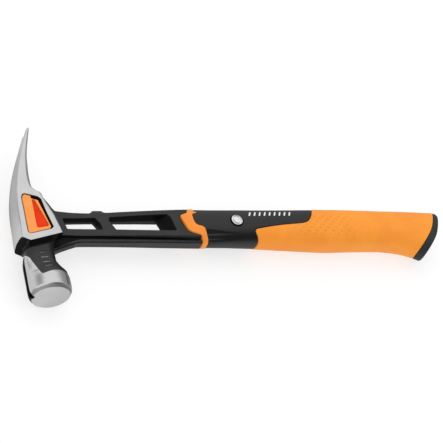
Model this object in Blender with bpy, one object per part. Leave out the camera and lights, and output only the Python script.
"""Claw hammer with a one-piece forged head and windowed shank, an isolated handle and a soft grip.

Frame: the hammer lies on its side. The origin is the centre of the striking face.
+X runs along the handle from the head to the butt, +Y along the head from the striking face to the
claw, and +Z out of one side. The plane z = 0 is the plane of symmetry. In names along the handle,
front is towards the head (-X) and rear towards the butt (+X). Lengths below are in millimetres and
are turned into metres when a mesh is made.
"""

import math

import bmesh
import bpy
from mathutils import Vector

MM = 0.001
SIDES = ((1.0, "left"), (-1.0, "right"))    # sign of z, tag in the object names

# ---------------------------------------------------------------- driving dimensions (mm)
GAP = 0.3                 # clearance between neighbouring pieces

FACE_RADIUS = 15.2        # flat of the striking face
BELL_RADIUS = 17.4        # widest part of the bell
NECK_RADIUS = 16.9        # round section that the neck blends away from
CHEEK_HALF = 12.2         # half thickness of the head over the cheeks
CROWN_HALF = 9.0          # half width of the flat crown
CLAW_LENGTH = 160.0       # striking face to claw tip
SLOT_ROOT_Y = 114.0       # root of the nail slot
SLOT_END_Y = CLAW_LENGTH + 6.0    # open end of the slot cutter, past the tips
SLOT_END_HALF = 3.9 + 0.4         # half opening at the tips, and its growth up to that end
POCKET_FLOOR = 6.6        # height of the cheek pocket's floor above the middle plane
INSERT_TOP = 11.8         # top of the cheek insert
INSERT_BEVEL_HEIGHT = 0.6
INSERT_BEVEL_INSET = 0.5
ACCENT_TOP = 11.1         # top of the triangular accent
ACCENT_FLOOR = ACCENT_TOP - 1.6   # floor of the accent's recess
GROOVE_RADIUS = 2.6       # nail-starter groove
MAGNET_Y = 3.4            # magnet behind the striking face, under the groove's deep front end
MAGNET_TOP = -14.1        # x of its outer face
MAGNET_RADIUS = 2.2
MAGNET_LENGTH = 3.0
BUMP_HALF = 3.9           # half thickness of the bump on the shank
WINDOW_CORNER = 2.2       # corner size of the shank windows
WINDOW_DRAFT = 0.5        # inset at the middle plane, and outset at the outer end

RIVET_AT = (170.8, 66.6)  # x, y of the rivet's axis
RIVET_HEAD_RADIUS = 5.25
RIVET_HEAD_SEAT = 11.9    # height of the underside of the rivet heads
RIVET_RECESS_FLOOR = 11.6 # height of the floor of the shell's recess for a rivet head
RIVET_RECESS_RADIUS = RIVET_HEAD_RADIUS + 0.5
RIVET_SHANK_RADIUS = 2.6
RIVET_SCREW_RADIUS = 1.5
BUSH_OUTER = 4.6
BUSH_STEPS = 28

TANG_HALF = 3.6           # half thickness of the tang
BUSH_HALF = TANG_HALF + 1.8       # half length of the bushing
SLEEVE_WALL = 2.4
SLEEVE_PROUD = 0.5        # sleeve band above the shell's surface
GRIP_WALL = 2.8           # thickness of the soft grip over the shell
GRIP_PROUD = 0.3          # grip and cap above the shell's surface
SEAM_SHIFT = -0.05        # shell and grip stop this far from the butt seam
SECTION_POINTS = 32       # points round a handle section
HANDLE_POWER = 2.4        # superellipse power of a handle section
RAIL_POWER = 2.3
RAIL_POINTS = 20

# ---------------------------------------------------------------- plan outlines (mm, x then y)
CHEEK_WINDOW = [
    (-12.6, 53.4), (-10.6, 51.8), (7.4, 56.6), (9.4, 58.6), (5.7, 73.6), (3.4, 85.6),
    (1.2, 87.6), (-9.4, 90.4), (-11.4, 89.6), (-12.6, 86.0)]
CHEEK_INSERT = [
    (-12.3, 53.7), (-10.5, 52.1), (6.4, 56.8), (7.8, 58.6), (4.0, 73.6), (1.0, 84.6),
    (-4.3, 86.2), (-4.6, 88.8), (-9.4, 90.1), (-11.2, 89.3), (-12.3, 85.9)]
ACCENT = [
    (-3.9, 60.0), (-3.0, 59.2), (4.4, 60.9), (5.2, 62.2), (-1.6, 84.4), (-3.4, 84.8), (-3.9, 84.0)]
WINDOW_FRONT = [(23.2, 61.2), (53.8, 61.2), (52.6, 67.0), (48.9, 72.8), (20.6, 71.8)]
WINDOW_REAR = [
    (64.6, 60.8), (90.0, 59.9), (116.5, 59.1), (113.9, 72.0), (111.4, 74.8),
    (88.0, 74.2), (60.6, 73.0), (60.0, 69.8)]
BUMP = [(43.4, 70.0), (45.4, 78.4), (47.2, 80.2), (55.2, 80.3), (57.0, 78.6), (59.4, 70.0)]
# open lines: both edges of the sleeve's visible band, front edge of the grip, ends of the butt cap
WAVE_FRONT = [
    (131.5, 98.0), (131.2, 82.4), (129.4, 78.2), (128.2, 76.2), (125.0, 74.7), (122.2, 73.2),
    (122.4, 69.8), (123.6, 65.4), (125.8, 59.6), (128.7, 57.0), (132.1, 55.5), (135.7, 54.2),
    (137.9, 52.0), (138.4, 49.0), (138.2, 44.0), (137.8, 34.0)]
WAVE_REAR = [
    (137.8, 98.0), (137.4, 83.8), (135.2, 78.4), (137.9, 77.2), (136.8, 75.6), (133.6, 74.6),
    (132.9, 71.5), (133.0, 67.8), (133.8, 65.0), (135.6, 63.2), (138.6, 62.3), (140.8, 60.8),
    (141.6, 57.8), (142.3, 53.8), (143.5, 50.0), (144.0, 46.0), (144.0, 34.0)]
GRIP_FRONT = [
    (193.6, 28.0), (192.6, 40.0), (190.8, 46.0), (188.8, 50.0), (186.6, 54.2), (185.7, 56.6),
    (186.6, 58.3), (190.4, 59.2), (204.2, 61.2), (218.6, 62.7), (231.0, 63.9), (235.8, 65.6),
    (239.4, 69.2), (243.0, 75.6), (245.6, 82.0), (246.4, 98.0)]
BUTT_SEAM = [
    (330.0, 28.5), (341.2, 41.0), (344.8, 44.9), (350.1, 51.1), (355.1, 57.4),
    (359.1, 64.0), (363.0, 71.9), (368.6, 83.0), (373.6, 94.0)]
BUTT_END = [
    (338.4, 25.5), (347.4, 37.0), (349.9, 40.2), (354.7, 46.0), (360.3, 53.5), (364.1, 60.8),
    (366.9, 67.0), (369.0, 73.0), (370.7, 79.0), (372.0, 84.0), (375.0, 94.0)]

# ---------------------------------------------------------------- stations along x (mm)
# handle: x, centre y, half height, half thickness
HANDLE = [
    (116.0, 65.8, 17.2, 9.3), (128.0, 65.8, 17.1, 9.9), (140.0, 65.8, 17.0, 10.6),
    (150.0, 65.75, 16.8, 11.2), (170.0, 65.85, 16.6, 12.3), (190.0, 65.7, 16.6, 13.2),
    (210.0, 65.3, 17.1, 14.0), (225.0, 65.1, 17.6, 14.3), (240.0, 64.9, 18.15, 14.6),
    (257.0, 64.7, 18.5, 14.8), (280.0, 65.0, 18.1, 14.8), (296.0, 65.0, 17.8, 14.7),
    (309.0, 64.9, 17.7, 14.6), (324.0, 64.1, 18.5, 14.6), (333.0, 63.2, 19.4, 14.6),
    (341.0, 61.8, 20.8, 14.6), (350.0, 59.6, 23.0, 14.6), (360.0, 56.8, 25.8, 14.4),
    (384.0, 50.0, 32.6, 13.8)]
# rail: x, centre y, half height, half width
RAIL = [
    (4.0, 38.6, 1.8, 4.0), (9.0, 42.0, 1.8, 4.0), (14.0, 44.5, 1.8, 4.0), (21.0, 47.3, 1.8, 4.0),
    (27.5, 49.6, 1.8, 4.0), (31.0, 50.6, 1.8, 4.0), (36.0, 50.9, 1.8, 4.1),
    (50.0, 50.95, 1.8, 4.1), (70.0, 51.0, 1.85, 4.3), (104.0, 50.8, 1.9, 4.7),
    (146.0, 50.5, 1.9, 5.0)]
# bars: x, lowest y, highest y, half thickness
SHANK = [
    (-8.0, 56.0, 76.0, 5.6), (12.0, 55.0, 78.6, 5.4), (22.0, 54.8, 78.4, 4.7),
    (32.0, 54.7, 77.9, 4.3), (46.0, 54.7, 77.6, 4.4), (60.0, 54.5, 78.0, 5.1),
    (76.0, 54.2, 78.6, 6.0), (92.0, 53.8, 79.1, 6.9), (110.0, 53.3, 79.6, 7.8),
    (128.0, 52.7, 79.8, 8.7), (146.0, 52.2, 79.8, 9.5)]
WEB = [     # between the shank plate and the rail
    (0.0, 41.0, 62.0, 3.4), (9.0, 42.4, 60.0, 2.9), (15.0, 45.2, 58.0, 2.6),
    (22.0, 48.0, 57.0, 2.4), (30.0, 50.4, 57.0, 2.3), (60.0, 51.0, 57.0, 2.6),
    (100.0, 51.0, 57.0, 3.0), (146.0, 50.6, 57.0, 3.6)]
SPIGOT = [(338.0, 59.4, 71.9, 5.2), (362.0, 59.4, 71.9, 5.2)]
# the tang and what encloses it: x, lowest y, highest y of the tang, before any growth
TANG_MIDDLE = [(150.0, 57.6, 75.0), (250.0, 57.8, 74.2)]
TANG = [(112.0, 57.6, 75.0), *TANG_MIDDLE, (318.0, 58.6, 72.6), (332.0, 60.6, 70.6)]
SLEEVE_TUBE = [(118.0, 57.6, 75.0), *TANG_MIDDLE, (316.0, 58.6, 72.7)]
TANG_ROOM = [(100.0, 57.6, 75.0), *TANG_MIDDLE, (318.0, 58.6, 72.6), (340.0, 58.6, 72.6)]
SLEEVE_ROOM = [(110.0, 57.6, 75.0), *TANG_MIDDLE, (318.0, 58.6, 72.7), (400.0, 58.6, 72.7)]

# ---------------------------------------------------------------- head sections along y (mm)
# bell: y, radius
BELL = [(0.0, FACE_RADIUS), (2.8, 16.9), (5.0, 17.2), (9.0, BELL_RADIUS), (15.0, 17.2)]
# neck: y, share of the round section, crown x, crown half width, side start x, half thickness,
# side end x, handle-side x, handle-side half width
NECK = [
    (18.5, 0.72, -17.3, 6.2, -10.4, 10.9, 7.0, 12.6, 6.0),
    (22.5, 0.36, -17.3, 6.0, -10.2, 10.2, 6.0, 11.2, 5.4),
    (27.0, 0.10, -17.3, 5.8, -10.0, 9.6, 5.2, 9.8, 5.0),
    (31.5, 0.0, -17.1, 5.6, -10.0, 9.2, 4.6, 9.0, 4.6),
    (35.5, 0.0, -16.4, 5.2, -10.0, 8.8, 4.2, 9.0, 4.4),
    (39.2, 0.0, -15.8, 5.0, -10.2, 8.4, 4.2, 8.8, 4.4)]
# cheek and claw: y, tilt (rise of y per unit x), then as for the neck from the crown x on
CHEEK = [
    (48.0, 0.28, -18.9, 7.6, -15.0, 10.6, 8.4, 12.2, 8.8),
    (48.5, 0.28, -19.4, CROWN_HALF, -17.0, CHEEK_HALF, 16.0, 16.7, 11.4),
    (56.0, 0.14, -19.7, CROWN_HALF, -17.0, CHEEK_HALF, 14.9, 15.6, 11.4),
    (64.0, 0.04, -19.7, CROWN_HALF, -16.9, CHEEK_HALF, 13.2, 13.9, 11.4),
    (70.5, 0.0, -19.55, CROWN_HALF, -16.75, CHEEK_HALF, 11.6, 12.3, 11.4),
    (76.3, 0.0, -19.3, CROWN_HALF, -16.5, CHEEK_HALF, 9.4, 10.1, 11.4),
    (84.0, 0.0, -18.65, CROWN_HALF, -15.9, CHEEK_HALF, 6.6, 7.3, 11.3),
    (88.9, 0.0, -18.0, CROWN_HALF, -15.2, 12.1, 4.9, 5.8, 11.2),
    (91.8, 0.0, -17.55, CROWN_HALF, -14.8, 12.0, 3.9, 5.2, 10.8),
    (94.5, 0.0, -17.0, CROWN_HALF, -14.2, 11.9, 0.0, 1.8, 10.0),
    (98.0, 0.0, -16.3, CROWN_HALF, -13.4, 11.7, -2.7, -0.5, 8.8),
    (103.0, 0.0, -15.2, CROWN_HALF, -12.3, 11.5, -3.5, -1.05, 8.2),
    (108.5, 0.0, -13.85, CROWN_HALF, -11.0, 11.3, -3.6, -1.1, 8.0),
    (114.5, 0.0, -12.2, CROWN_HALF, -9.5, 11.1, -3.2, -0.9, 8.0),
    (121.0, 0.0, -10.1, CROWN_HALF, -7.6, 10.9, -2.4, -0.35, 8.0),
    (127.5, 0.0, -7.85, CROWN_HALF, -5.6, 10.7, -1.5, 0.2, 8.0),
    (134.0, 0.0, -5.5, CROWN_HALF, -3.4, 10.5, -0.3, 1.3, 8.0),
    (140.5, 0.0, -3.0, CROWN_HALF, -1.1, 10.3, 1.1, 2.6, 8.0),
    (147.0, 0.0, -0.5, CROWN_HALF, 1.2, 10.1, 2.7, 4.2, 8.0),
    (153.5, 0.0, 2.1, CROWN_HALF, 3.4, 9.9, 4.5, 5.8, 7.8),
    (158.4, 0.0, 4.1, 8.7, 5.1, 9.5, 6.1, 7.0, 7.6),
    (CLAW_LENGTH, 0.0, 4.7, 8.3, 5.6, 8.9, 6.5, 7.2, 7.4)]
# angles on the round section that match the key points of a half section, and steps between them
KEY_ANGLES = (180.0, 158.0, 122.0, 64.0, 24.0, 0.0)
KEY_STEPS = (2, 2, 3, 2, 1)
# root of the nail slot: y beyond the root, half opening
SLOT_ROOT = [(2.2, 1.15), (0.6, 0.8), (0.0, 0.27)]
# nail groove: y, centre x, radius
NAIL_GROOVE = [
    (-4.0, -14.6, GROOVE_RADIUS), (0.0, -15.2, GROOVE_RADIUS), (8.0, -17.5, GROOVE_RADIUS),
    (27.0, -17.9, GROOVE_RADIUS), (33.0, -17.9, 0.6)]

# rivet head: radius, height above the middle plane
RIVET_HEAD = [
    (RIVET_HEAD_RADIUS, RIVET_HEAD_SEAT), (RIVET_HEAD_RADIUS, 12.9),
    (4.6, 13.35), (3.2, 13.6), (1.6, 13.7)]
# butt cap rings: plan line, growth of the handle section, shift in x, share of the full section
BUTT_CAP = [
    (BUTT_SEAM, GRIP_PROUD, GAP, 0.15), (BUTT_SEAM, GRIP_PROUD, GAP, 0.4),
    (BUTT_SEAM, GRIP_PROUD, GAP, 0.65), (BUTT_SEAM, GRIP_PROUD, GAP, 0.85),
    (BUTT_SEAM, GRIP_PROUD, GAP, 1.0), (BUTT_END, GRIP_PROUD, -2.2, 1.0),
    (BUTT_END, -0.3, -0.9, 1.0), (BUTT_END, -1.6, -0.1, 1.0),
    (BUTT_END, 0.0, 0.2, 0.6), (BUTT_END, 0.0, 0.3, 0.2)]


# ---------------------------------------------------------------- lines and loops
def interp(table, x):
    """Row of the table at x, straight between stations, without its first column."""
    if x <= table[0][0]:
        return table[0][1:]
    for row, after in zip(table, table[1:]):
        if x <= after[0]:
            t = (x - row[0]) / (after[0] - row[0])
            return tuple(p + (q - p) * t for p, q in zip(row[1:], after[1:]))
    return table[-1][1:]


def spline(points, steps):
    """Catmull-Rom curve through the points, with the ends kept."""
    out = []
    for i in range(len(points) - 1):
        around = (points[max(i - 1, 0)], points[i], points[i + 1],
                  points[min(i + 2, len(points) - 1)])
        for k in range(steps):
            t = k / steps
            out.append(tuple(
                0.5 * (2 * b + (c - a) * t + (2 * a - 5 * b + 4 * c - d) * t * t
                       + (3 * b - a - 3 * c + d) * t ** 3)
                for a, b, c, d in zip(*around)))
    out.append(tuple(points[-1]))
    return out


def offset_line(points, distance):
    """Open line moved to its right-hand side, seen from +Z, by the distance."""
    out = []
    for i, (x, y) in enumerate(points):
        before, after = Vector(points[max(i - 1, 0)]), Vector(points[min(i + 1, len(points) - 1)])
        along = (after - before).normalized()
        out.append((x + along.y * distance, y - along.x * distance))
    return out


def corners(points):
    """Each point of a closed loop as vectors: the point before, itself, the point after."""
    return [(Vector(points[i - 1]), Vector(p), Vector(points[(i + 1) % len(points)]))
            for i, p in enumerate(points)]


def inset_loop(points, distance):
    """Closed loop moved inwards by the distance, with mitred corners."""
    area = sum(a[0] * b[1] - b[0] * a[1] for a, b in zip(points, points[1:] + points[:1]))
    turn = 1.0 if area > 0 else -1.0
    out = []
    for before, here, after in corners(points):
        edge_in, edge_out = (here - before).normalized(), (after - here).normalized()
        normal_in = Vector((-edge_in.y, edge_in.x)) * turn
        normal_out = Vector((-edge_out.y, edge_out.x)) * turn
        mitre = (normal_in + normal_out).normalized()
        out.append(tuple(here + mitre * (distance / max(mitre.dot(normal_in), 0.4))))
    return out


def rounded_loop(points, radius, steps):
    """Closed loop with each corner replaced by a short curve."""
    out = []
    for before, here, after in corners(points):
        reach = min(radius, (before - here).length * 0.45, (after - here).length * 0.45)
        start = here + (before - here).normalized() * reach
        end = here + (after - here).normalized() * reach
        for k in range(steps + 1):
            t = k / steps
            out.append(tuple(start.lerp(here, t).lerp(here.lerp(end, t), t)))
    return out


# ---------------------------------------------------------------- solids
def add_object(name, verts, faces, mat, sharp_angle):
    mesh = bpy.data.meshes.new(name)
    mesh.from_pydata([(x * MM, y * MM, z * MM) for x, y, z in verts], [], faces)
    bm = bmesh.new()
    bm.from_mesh(mesh)
    bmesh.ops.recalc_face_normals(bm, faces=bm.faces)
    bm.to_mesh(mesh)
    bm.free()
    mesh.shade_smooth()
    mesh.set_sharp_from_angle(angle=math.radians(sharp_angle))
    ob = bpy.data.objects.new(name, mesh)
    bpy.context.scene.collection.objects.link(ob)
    if mat:
        mesh.materials.append(mat)
    return ob


def loft(name, rings, mat=None, sharp_angle=35.0):
    """Closed solid through rings of equal length, capped by a flat face at each end."""
    n = len(rings[0])
    verts = [v for ring in rings for v in ring]
    faces = []
    for r in range(len(rings) - 1):
        for k in range(n):
            j = (k + 1) % n
            faces.append((r * n + k, r * n + j, (r + 1) * n + j, (r + 1) * n + k))
    faces.append(tuple(range(n)))
    faces.append(tuple((len(rings) - 1) * n + k for k in range(n)))
    return add_object(name, verts, faces, mat, sharp_angle)


def prism(name, outline, z0, z1, mat=None):
    """Plan outline raised from z0 to z1."""
    return loft(name, [[(x, y, z) for x, y in outline] for z in (z0, z1)], mat)


def turned(name, centre, profile, mat=None, steps=32, along="z"):
    """Solid of revolution about a z axis at (x, y), or an x axis at (y, z).

    profile is (radius, place on the axis) from one end to the other.
    """
    rings = []
    for radius, place in profile:
        ring = []
        for k in range(steps):
            a = 2 * math.pi * k / steps
            u, v = centre[0] + radius * math.cos(a), centre[1] + radius * math.sin(a)
            ring.append((u, v, place) if along == "z" else (place, u, v))
        rings.append(ring)
    return loft(name, rings, mat)


def rivet_bore(name, radius, z0, z1, steps=BUSH_STEPS):
    """Round cutter on the rivet's axis."""
    return turned(name, RIVET_AT, [(radius, z0), (radius, z1)], steps=steps)


def boolean(target, operation, tools, solver="EXACT"):
    """Boolean with guide objects, which are left out of the model."""
    for tool in tools:
        m = target.modifiers.new(f"{operation.lower()}_{tool.name}", "BOOLEAN")
        m.operation, m.object, m.solver = operation, tool, solver
        tool.hide_render = True
        tool.display_type = "WIRE"


def cut(target, *tools):
    boolean(target, "DIFFERENCE", tools)


def keep(target, *tools):
    boolean(target, "INTERSECT", tools)


def join(target, *tools):
    boolean(target, "UNION", tools)


# ---------------------------------------------------------------- sections
def superellipse(centre_y, half_y, half_z, power=HANDLE_POWER, count=SECTION_POINTS):
    pts = []
    for k in range(count):
        a = 2 * math.pi * (k + 0.5) / count
        c, s = math.cos(a), math.sin(a)
        y = math.copysign(abs(c) ** (2 / power), c) * half_y
        z = math.copysign(abs(s) ** (2 / power), s) * half_z
        pts.append((centre_y + y, z))
    return pts


HANDLE_CURVE = spline(HANDLE, 2)


def handle_rings(grow=0.0, x_from=-math.inf, x_to=math.inf):
    """Rings of the handle, drawn in or out by grow."""
    return [[(x, y, z) for y, z in superellipse(centre_y, half_y + grow, half_z + grow)]
            for x, centre_y, half_y, half_z in HANDLE_CURVE if x_from <= x <= x_to]


def rounded_rect(y0, y1, half_z, r):
    pts = []
    for y, z, start in ((y1 - r, half_z - r, 0), (y0 + r, half_z - r, 90),
                        (y0 + r, -half_z + r, 180), (y1 - r, -half_z + r, 270)):
        for k in range(4):
            a = math.radians(start + 30 * k)
            pts.append((y + r * math.cos(a), z + r * math.sin(a)))
    return pts


def bar(name, table, radius):
    """Rounded bar through (x, lowest y, highest y, half thickness) stations."""
    return loft(name, [
        [(x, y, z) for y, z in rounded_rect(y0, y1, half, min(radius, half * 0.6))]
        for x, y0, y1, half in table])


def tang_bar(name, table, grow, radius):
    """Bar of the tang's section, grown all round."""
    return bar(name, [(x, y0 - grow, y1 + grow, TANG_HALF + grow) for x, y0, y1 in table], radius)


def head_ring(y, tilt, share, radius, form):
    """Head section at y. share blends its form with a circle, and 1 gives the full circle."""
    crown_x, crown_half, side_x, side_half, side_end_x, handle_x, handle_half = form
    keys = [(crown_x, 0.0), (crown_x + 0.7, crown_half), (side_x, side_half),
            (side_end_x, side_half), (handle_x, handle_half), (handle_x, 0.0)]
    half = []
    for i, n in enumerate(KEY_STEPS):
        for k in range(n):
            t = k / n
            x = keys[i][0] + (keys[i + 1][0] - keys[i][0]) * t
            z = keys[i][1] + (keys[i + 1][1] - keys[i][1]) * t
            a = math.radians(KEY_ANGLES[i] + (KEY_ANGLES[i + 1] - KEY_ANGLES[i]) * t)
            half.append((x + (radius * math.cos(a) - x) * share,
                         z + (radius * math.sin(a) - z) * share))
    half.append((handle_x + (radius - handle_x) * share, 0.0))
    other = [(x, -z) for x, z in reversed(half[1:-1])]
    return [(x, y + tilt * x, z) for x, z in half + other]


# ---------------------------------------------------------------- cutters along the seams
def wave_cutter(name, line, shift, far_x, half_depth):
    """All between a sleeve seam, moved towards the head by shift, and far_x."""
    outline = offset_line(line, shift) + [(far_x, 30.0), (far_x, 100.0)]
    return prism(name, outline, -half_depth, half_depth)


def grip_cutter(name, shift, half_depth):
    """All behind the grip's front edge, moved towards the butt by shift."""
    outline = offset_line(spline(GRIP_FRONT, 2), shift)
    return prism(name, outline + [(420.0, 100.0), (420.0, 10.0), (150.0, 10.0)],
                 -half_depth, half_depth)


def butt_cutter(name, half_depth):
    """All behind the butt seam."""
    outline = [(x + SEAM_SHIFT, y) for x, y in BUTT_SEAM]
    return prism(name, outline + [(420.0, 96.0), (420.0, 10.0), (320.0, 10.0)],
                 -half_depth, half_depth)


# ---------------------------------------------------------------- head
def make_shank():
    """Plate with its bump, web and rail, cut off at the sleeve."""
    plate = bar("guide_plate", SHANK, 1.8)
    bump = prism("guide_bump", BUMP, -BUMP_HALF, BUMP_HALF)
    rail = loft("guide_rail", [
        [(x, y, z) for y, z in superellipse(centre_y, half_y, half_z, RAIL_POWER, RAIL_POINTS)]
        for x, centre_y, half_y, half_z in RAIL])
    join(plate, bump, bar("guide_web", WEB, 0.6), rail)
    cut(plate, wave_cutter("guide_trim_front", WAVE_FRONT, GAP / 2, 170.0, 22.0))
    return plate


def cut_windows(head):
    """Shank windows, widening outwards from the middle plane on each side."""
    for place, outline in (("front", WINDOW_FRONT), ("rear", WINDOW_REAR)):
        loop = rounded_loop(outline, WINDOW_CORNER, 2)
        for side, tag in SIDES:
            cut(head, loft(f"guide_window_{place}_{tag}", [
                [(x, y, side * -0.2) for x, y in inset_loop(loop, WINDOW_DRAFT)],
                [(x, y, side * 14.0) for x, y in inset_loop(loop, -WINDOW_DRAFT)]]))


def cut_nail_slot(head):
    """The nail slot: a V with a rounded root, open at the tips."""
    root = [(SLOT_ROOT_Y + y, half) for y, half in SLOT_ROOT]
    outline = root + [(y, -half) for y, half in reversed(root)]
    outline += [(SLOT_END_Y, -SLOT_END_HALF), (SLOT_END_Y, SLOT_END_HALF)]
    slot = loft("guide_slot", [[(x, y, z) for y, z in outline] for x in (-32.0, 21.0)])
    boolean(head, "DIFFERENCE", [slot], "MANIFOLD")


def make_nail_groove():
    """Groove down the crown, dipping at the face, where it opens as a notch in the rim."""
    angles = [math.pi * k / 8 for k in range(16)]
    return loft("guide_nail_groove", [
        [(centre_x + radius * math.cos(a), y, radius * math.sin(a)) for a in angles]
        for y, centre_x, radius in NAIL_GROOVE])


def magnet_cylinder(name, radius, x0, x1, mat=None):
    return turned(name, (MAGNET_Y, 0.0), [(radius, x0), (radius, x1)], mat, steps=20, along="x")


def make_head(steel):
    # the form of a bell ring has no effect, as its share of the circle is full
    rings = [head_ring(y, 0.0, 1.0, radius, NECK[0][2:]) for y, radius in BELL]
    rings += [head_ring(y, 0.0, share, NECK_RADIUS, form) for y, share, *form in NECK]
    rings += [head_ring(y, tilt, 0.0, 1.0, form) for y, tilt, *form in CHEEK]
    head = loft("head_forging", rings, steel, 30.0)
    join(head, make_shank(), tang_bar("guide_tang", TANG, 0.0, 1.2))
    cut_windows(head)
    for side, tag in SIDES:
        cut(head, prism(f"guide_pocket_{tag}", rounded_loop(CHEEK_WINDOW, 1.6, 2),
                        side * POCKET_FLOOR, side * 20.0))
    cut_nail_slot(head)
    magnet_pocket = magnet_cylinder("guide_magnet_pocket", MAGNET_RADIUS + GAP,
                                    -24.0, MAGNET_TOP + MAGNET_LENGTH + GAP)
    bush_hole = rivet_bore("guide_bush_hole", BUSH_OUTER + GAP, -9.0, 9.0)
    cut(head, make_nail_groove(), magnet_pocket, bush_hole)


def make_cheek_insert(side, tag, insert_mat, accent_mat):
    """Insert in a cheek pocket, with the accent sunk in it."""
    loop = rounded_loop(CHEEK_INSERT, 1.0, 1)
    insert = loft(f"cheek_insert_{tag}", [
        [(x, y, side * (POCKET_FLOOR + GAP)) for x, y in loop],
        [(x, y, side * (INSERT_TOP - INSERT_BEVEL_HEIGHT)) for x, y in loop],
        [(x, y, side * INSERT_TOP) for x, y in inset_loop(loop, INSERT_BEVEL_INSET)]], insert_mat)
    cut(insert, prism(f"guide_accent_{tag}", inset_loop(ACCENT, -GAP),
                      side * ACCENT_FLOOR, side * 14.0))
    prism(f"insert_accent_{tag}", ACCENT, side * (ACCENT_FLOOR + GAP), side * ACCENT_TOP,
          accent_mat)


# ---------------------------------------------------------------- handle
def make_sleeve(mat):
    """Isolation sleeve: a visible band and a tube round the tang."""
    tube = tang_bar("guide_sleeve_tube", SLEEVE_TUBE, GAP + SLEEVE_WALL, 2.6)
    sleeve = loft("isolation_sleeve", handle_rings(SLEEVE_PROUD, x_to=152.0), mat)
    cut(sleeve,
        wave_cutter("guide_band_front", WAVE_FRONT, -GAP / 2, 100.0, 22.0),
        wave_cutter("guide_band_rear", WAVE_REAR, GAP / 2, 180.0, 22.0))
    cut(tube, wave_cutter("guide_tube_trim", WAVE_FRONT, -GAP / 2, 100.0, 24.0))
    join(sleeve, tube)
    cut(sleeve,
        tang_bar("guide_tang_room", TANG_ROOM, GAP, 1.4),
        rivet_bore("guide_rivet_hole_sleeve", BUSH_OUTER + GAP, -14.0, 14.0))


def make_shell(mat):
    shell = loft("handle_shell", handle_rings(), mat)
    cut(shell, wave_cutter("guide_shell_front", WAVE_REAR, -GAP / 2, 100.0, 24.0))
    # the part under the grip is thinner
    skin = loft("guide_skin", handle_rings(3.0, 140.0))
    cut(skin, loft("guide_core_under_grip", handle_rings(-GRIP_WALL - GAP, 150.0)))
    keep(skin, grip_cutter("guide_grip_zone", 0.0, 24.0))
    rivet_hole = turned("guide_rivet_hole", RIVET_AT, [
        (RIVET_RECESS_RADIUS, -20.0), (RIVET_RECESS_RADIUS, -RIVET_RECESS_FLOOR),
        (RIVET_SHANK_RADIUS + GAP, -RIVET_RECESS_FLOOR),
        (RIVET_SHANK_RADIUS + GAP, RIVET_RECESS_FLOOR),
        (RIVET_RECESS_RADIUS, RIVET_RECESS_FLOOR), (RIVET_RECESS_RADIUS, 20.0)])
    cut(shell, skin, butt_cutter("guide_shell_end", 26.0),
        tang_bar("guide_sleeve_room", SLEEVE_ROOM, 2 * GAP + SLEEVE_WALL, 2.8), rivet_hole)


def make_grip(mat):
    grip = loft("grip", handle_rings(GRIP_PROUD, 150.0), mat)
    keep(grip, grip_cutter("guide_grip_trim", GAP, 25.0))
    cut(grip, loft("guide_grip_room", handle_rings(-GRIP_WALL, 145.0)),
        butt_cutter("guide_grip_end", 27.0))


def ring_on(line, grow, shift, share):
    """Ring of the handle's surface where it meets a plan line whose y rises.

    share draws the ring towards the middle. Each x is found by halving an interval.
    """
    x_by_y = [(y, x) for x, y in line]
    ring = []
    for k in range(SECTION_POINTS):
        low, high = 300.0, 384.0
        for _ in range(30):
            x = 0.5 * (low + high)
            centre_y, half_y, half_z = interp(HANDLE_CURVE, x)
            y, z = superellipse(centre_y, half_y + grow, half_z + grow)[k]
            y, z = centre_y + (y - centre_y) * share, z * share
            if x < interp(x_by_y, y)[0] + shift:
                low = x
            else:
                high = x
        ring.append((x, y, z))
    return ring


def make_butt_cap(mat):
    cap = loft("butt_cap", [ring_on(*row) for row in BUTT_CAP], mat)
    join(cap, bar("guide_spigot", SPIGOT, 2.2))


# ---------------------------------------------------------------- rivet and bushing
def make_rivet(mat):
    """Barrel with its head on +Z, and the screw that enters it from -Z."""
    barrel = turned("rivet_barrel", RIVET_AT, [
        (RIVET_SHANK_RADIUS, -10.4), (RIVET_SHANK_RADIUS, RIVET_HEAD_SEAT), *RIVET_HEAD], mat)
    cut(barrel, rivet_bore("guide_barrel_bore", RIVET_SCREW_RADIUS + GAP, -14.0, 9.0, steps=20))
    turned("rivet_screw", RIVET_AT, [
        *((radius, -z) for radius, z in reversed(RIVET_HEAD)),
        (RIVET_SCREW_RADIUS, -RIVET_HEAD_SEAT), (RIVET_SCREW_RADIUS, 8.4)], mat)


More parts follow.
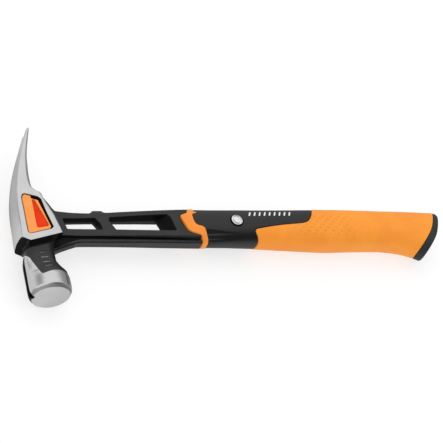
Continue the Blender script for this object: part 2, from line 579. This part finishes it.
def make_bushing(mat):
    bush = turned("rivet_bushing", RIVET_AT, [(BUSH_OUTER, -BUSH_HALF), (BUSH_OUTER, BUSH_HALF)],
                  mat, steps=BUSH_STEPS)
    cut(bush, rivet_bore("guide_bush_bore", RIVET_SHANK_RADIUS + GAP, -9.0, 9.0))


# ---------------------------------------------------------------- materials
def material(name, colour, roughness, metallic=0.0):
    m = bpy.data.materials.new(name)
    m.use_nodes = True
    inputs = m.node_tree.nodes["Principled BSDF"].inputs
    inputs["Base Color"].default_value = (*colour, 1.0)
    inputs["Roughness"].default_value = roughness
    inputs["Metallic"].default_value = metallic
    return m


def clear_scene():
    for old in list(bpy.data.objects):
        bpy.data.objects.remove(old, do_unlink=True)
    for store in (bpy.data.meshes, bpy.data.materials):
        for old in list(store):
            store.remove(old)


clear_scene()

STEEL = material("polished_steel", colour=(0.62, 0.62, 0.61), roughness=0.28, metallic=1.0)
MAGNET = material("magnet", colour=(0.20, 0.20, 0.21), roughness=0.45, metallic=1.0)
BLACK = material("black_handle_plastic", colour=(0.035, 0.036, 0.038), roughness=0.42)
RUBBER = material("black_cap_rubber", colour=(0.03, 0.032, 0.032), roughness=0.6)
ORANGE_GRIP = material("orange_soft_grip", colour=(0.86, 0.30, 0.04), roughness=0.55)
ORANGE_SLEEVE = material("orange_sleeve", colour=(0.86, 0.25, 0.03), roughness=0.5)
ORANGE_INSERT = material("orange_insert", colour=(0.90, 0.33, 0.10), roughness=0.4)
ACCENT_RED = material("insert_accent_red", colour=(0.75, 0.06, 0.01), roughness=0.4)
RIVET_STEEL = material("rivet_steel", colour=(0.80, 0.80, 0.80), roughness=0.2, metallic=1.0)
BUSH_RUBBER = material("bush_rubber", colour=(0.05, 0.05, 0.05), roughness=0.7)

make_head(STEEL)
magnet_cylinder("nail_magnet", MAGNET_RADIUS, MAGNET_TOP, MAGNET_TOP + MAGNET_LENGTH, MAGNET)
for z_sign, side_tag in SIDES:
    make_cheek_insert(z_sign, side_tag, ORANGE_INSERT, ACCENT_RED)
make_sleeve(ORANGE_SLEEVE)
make_shell(BLACK)
make_grip(ORANGE_GRIP)
make_butt_cap(RUBBER)
make_rivet(RIVET_STEEL)
make_bushing(BUSH_RUBBER)
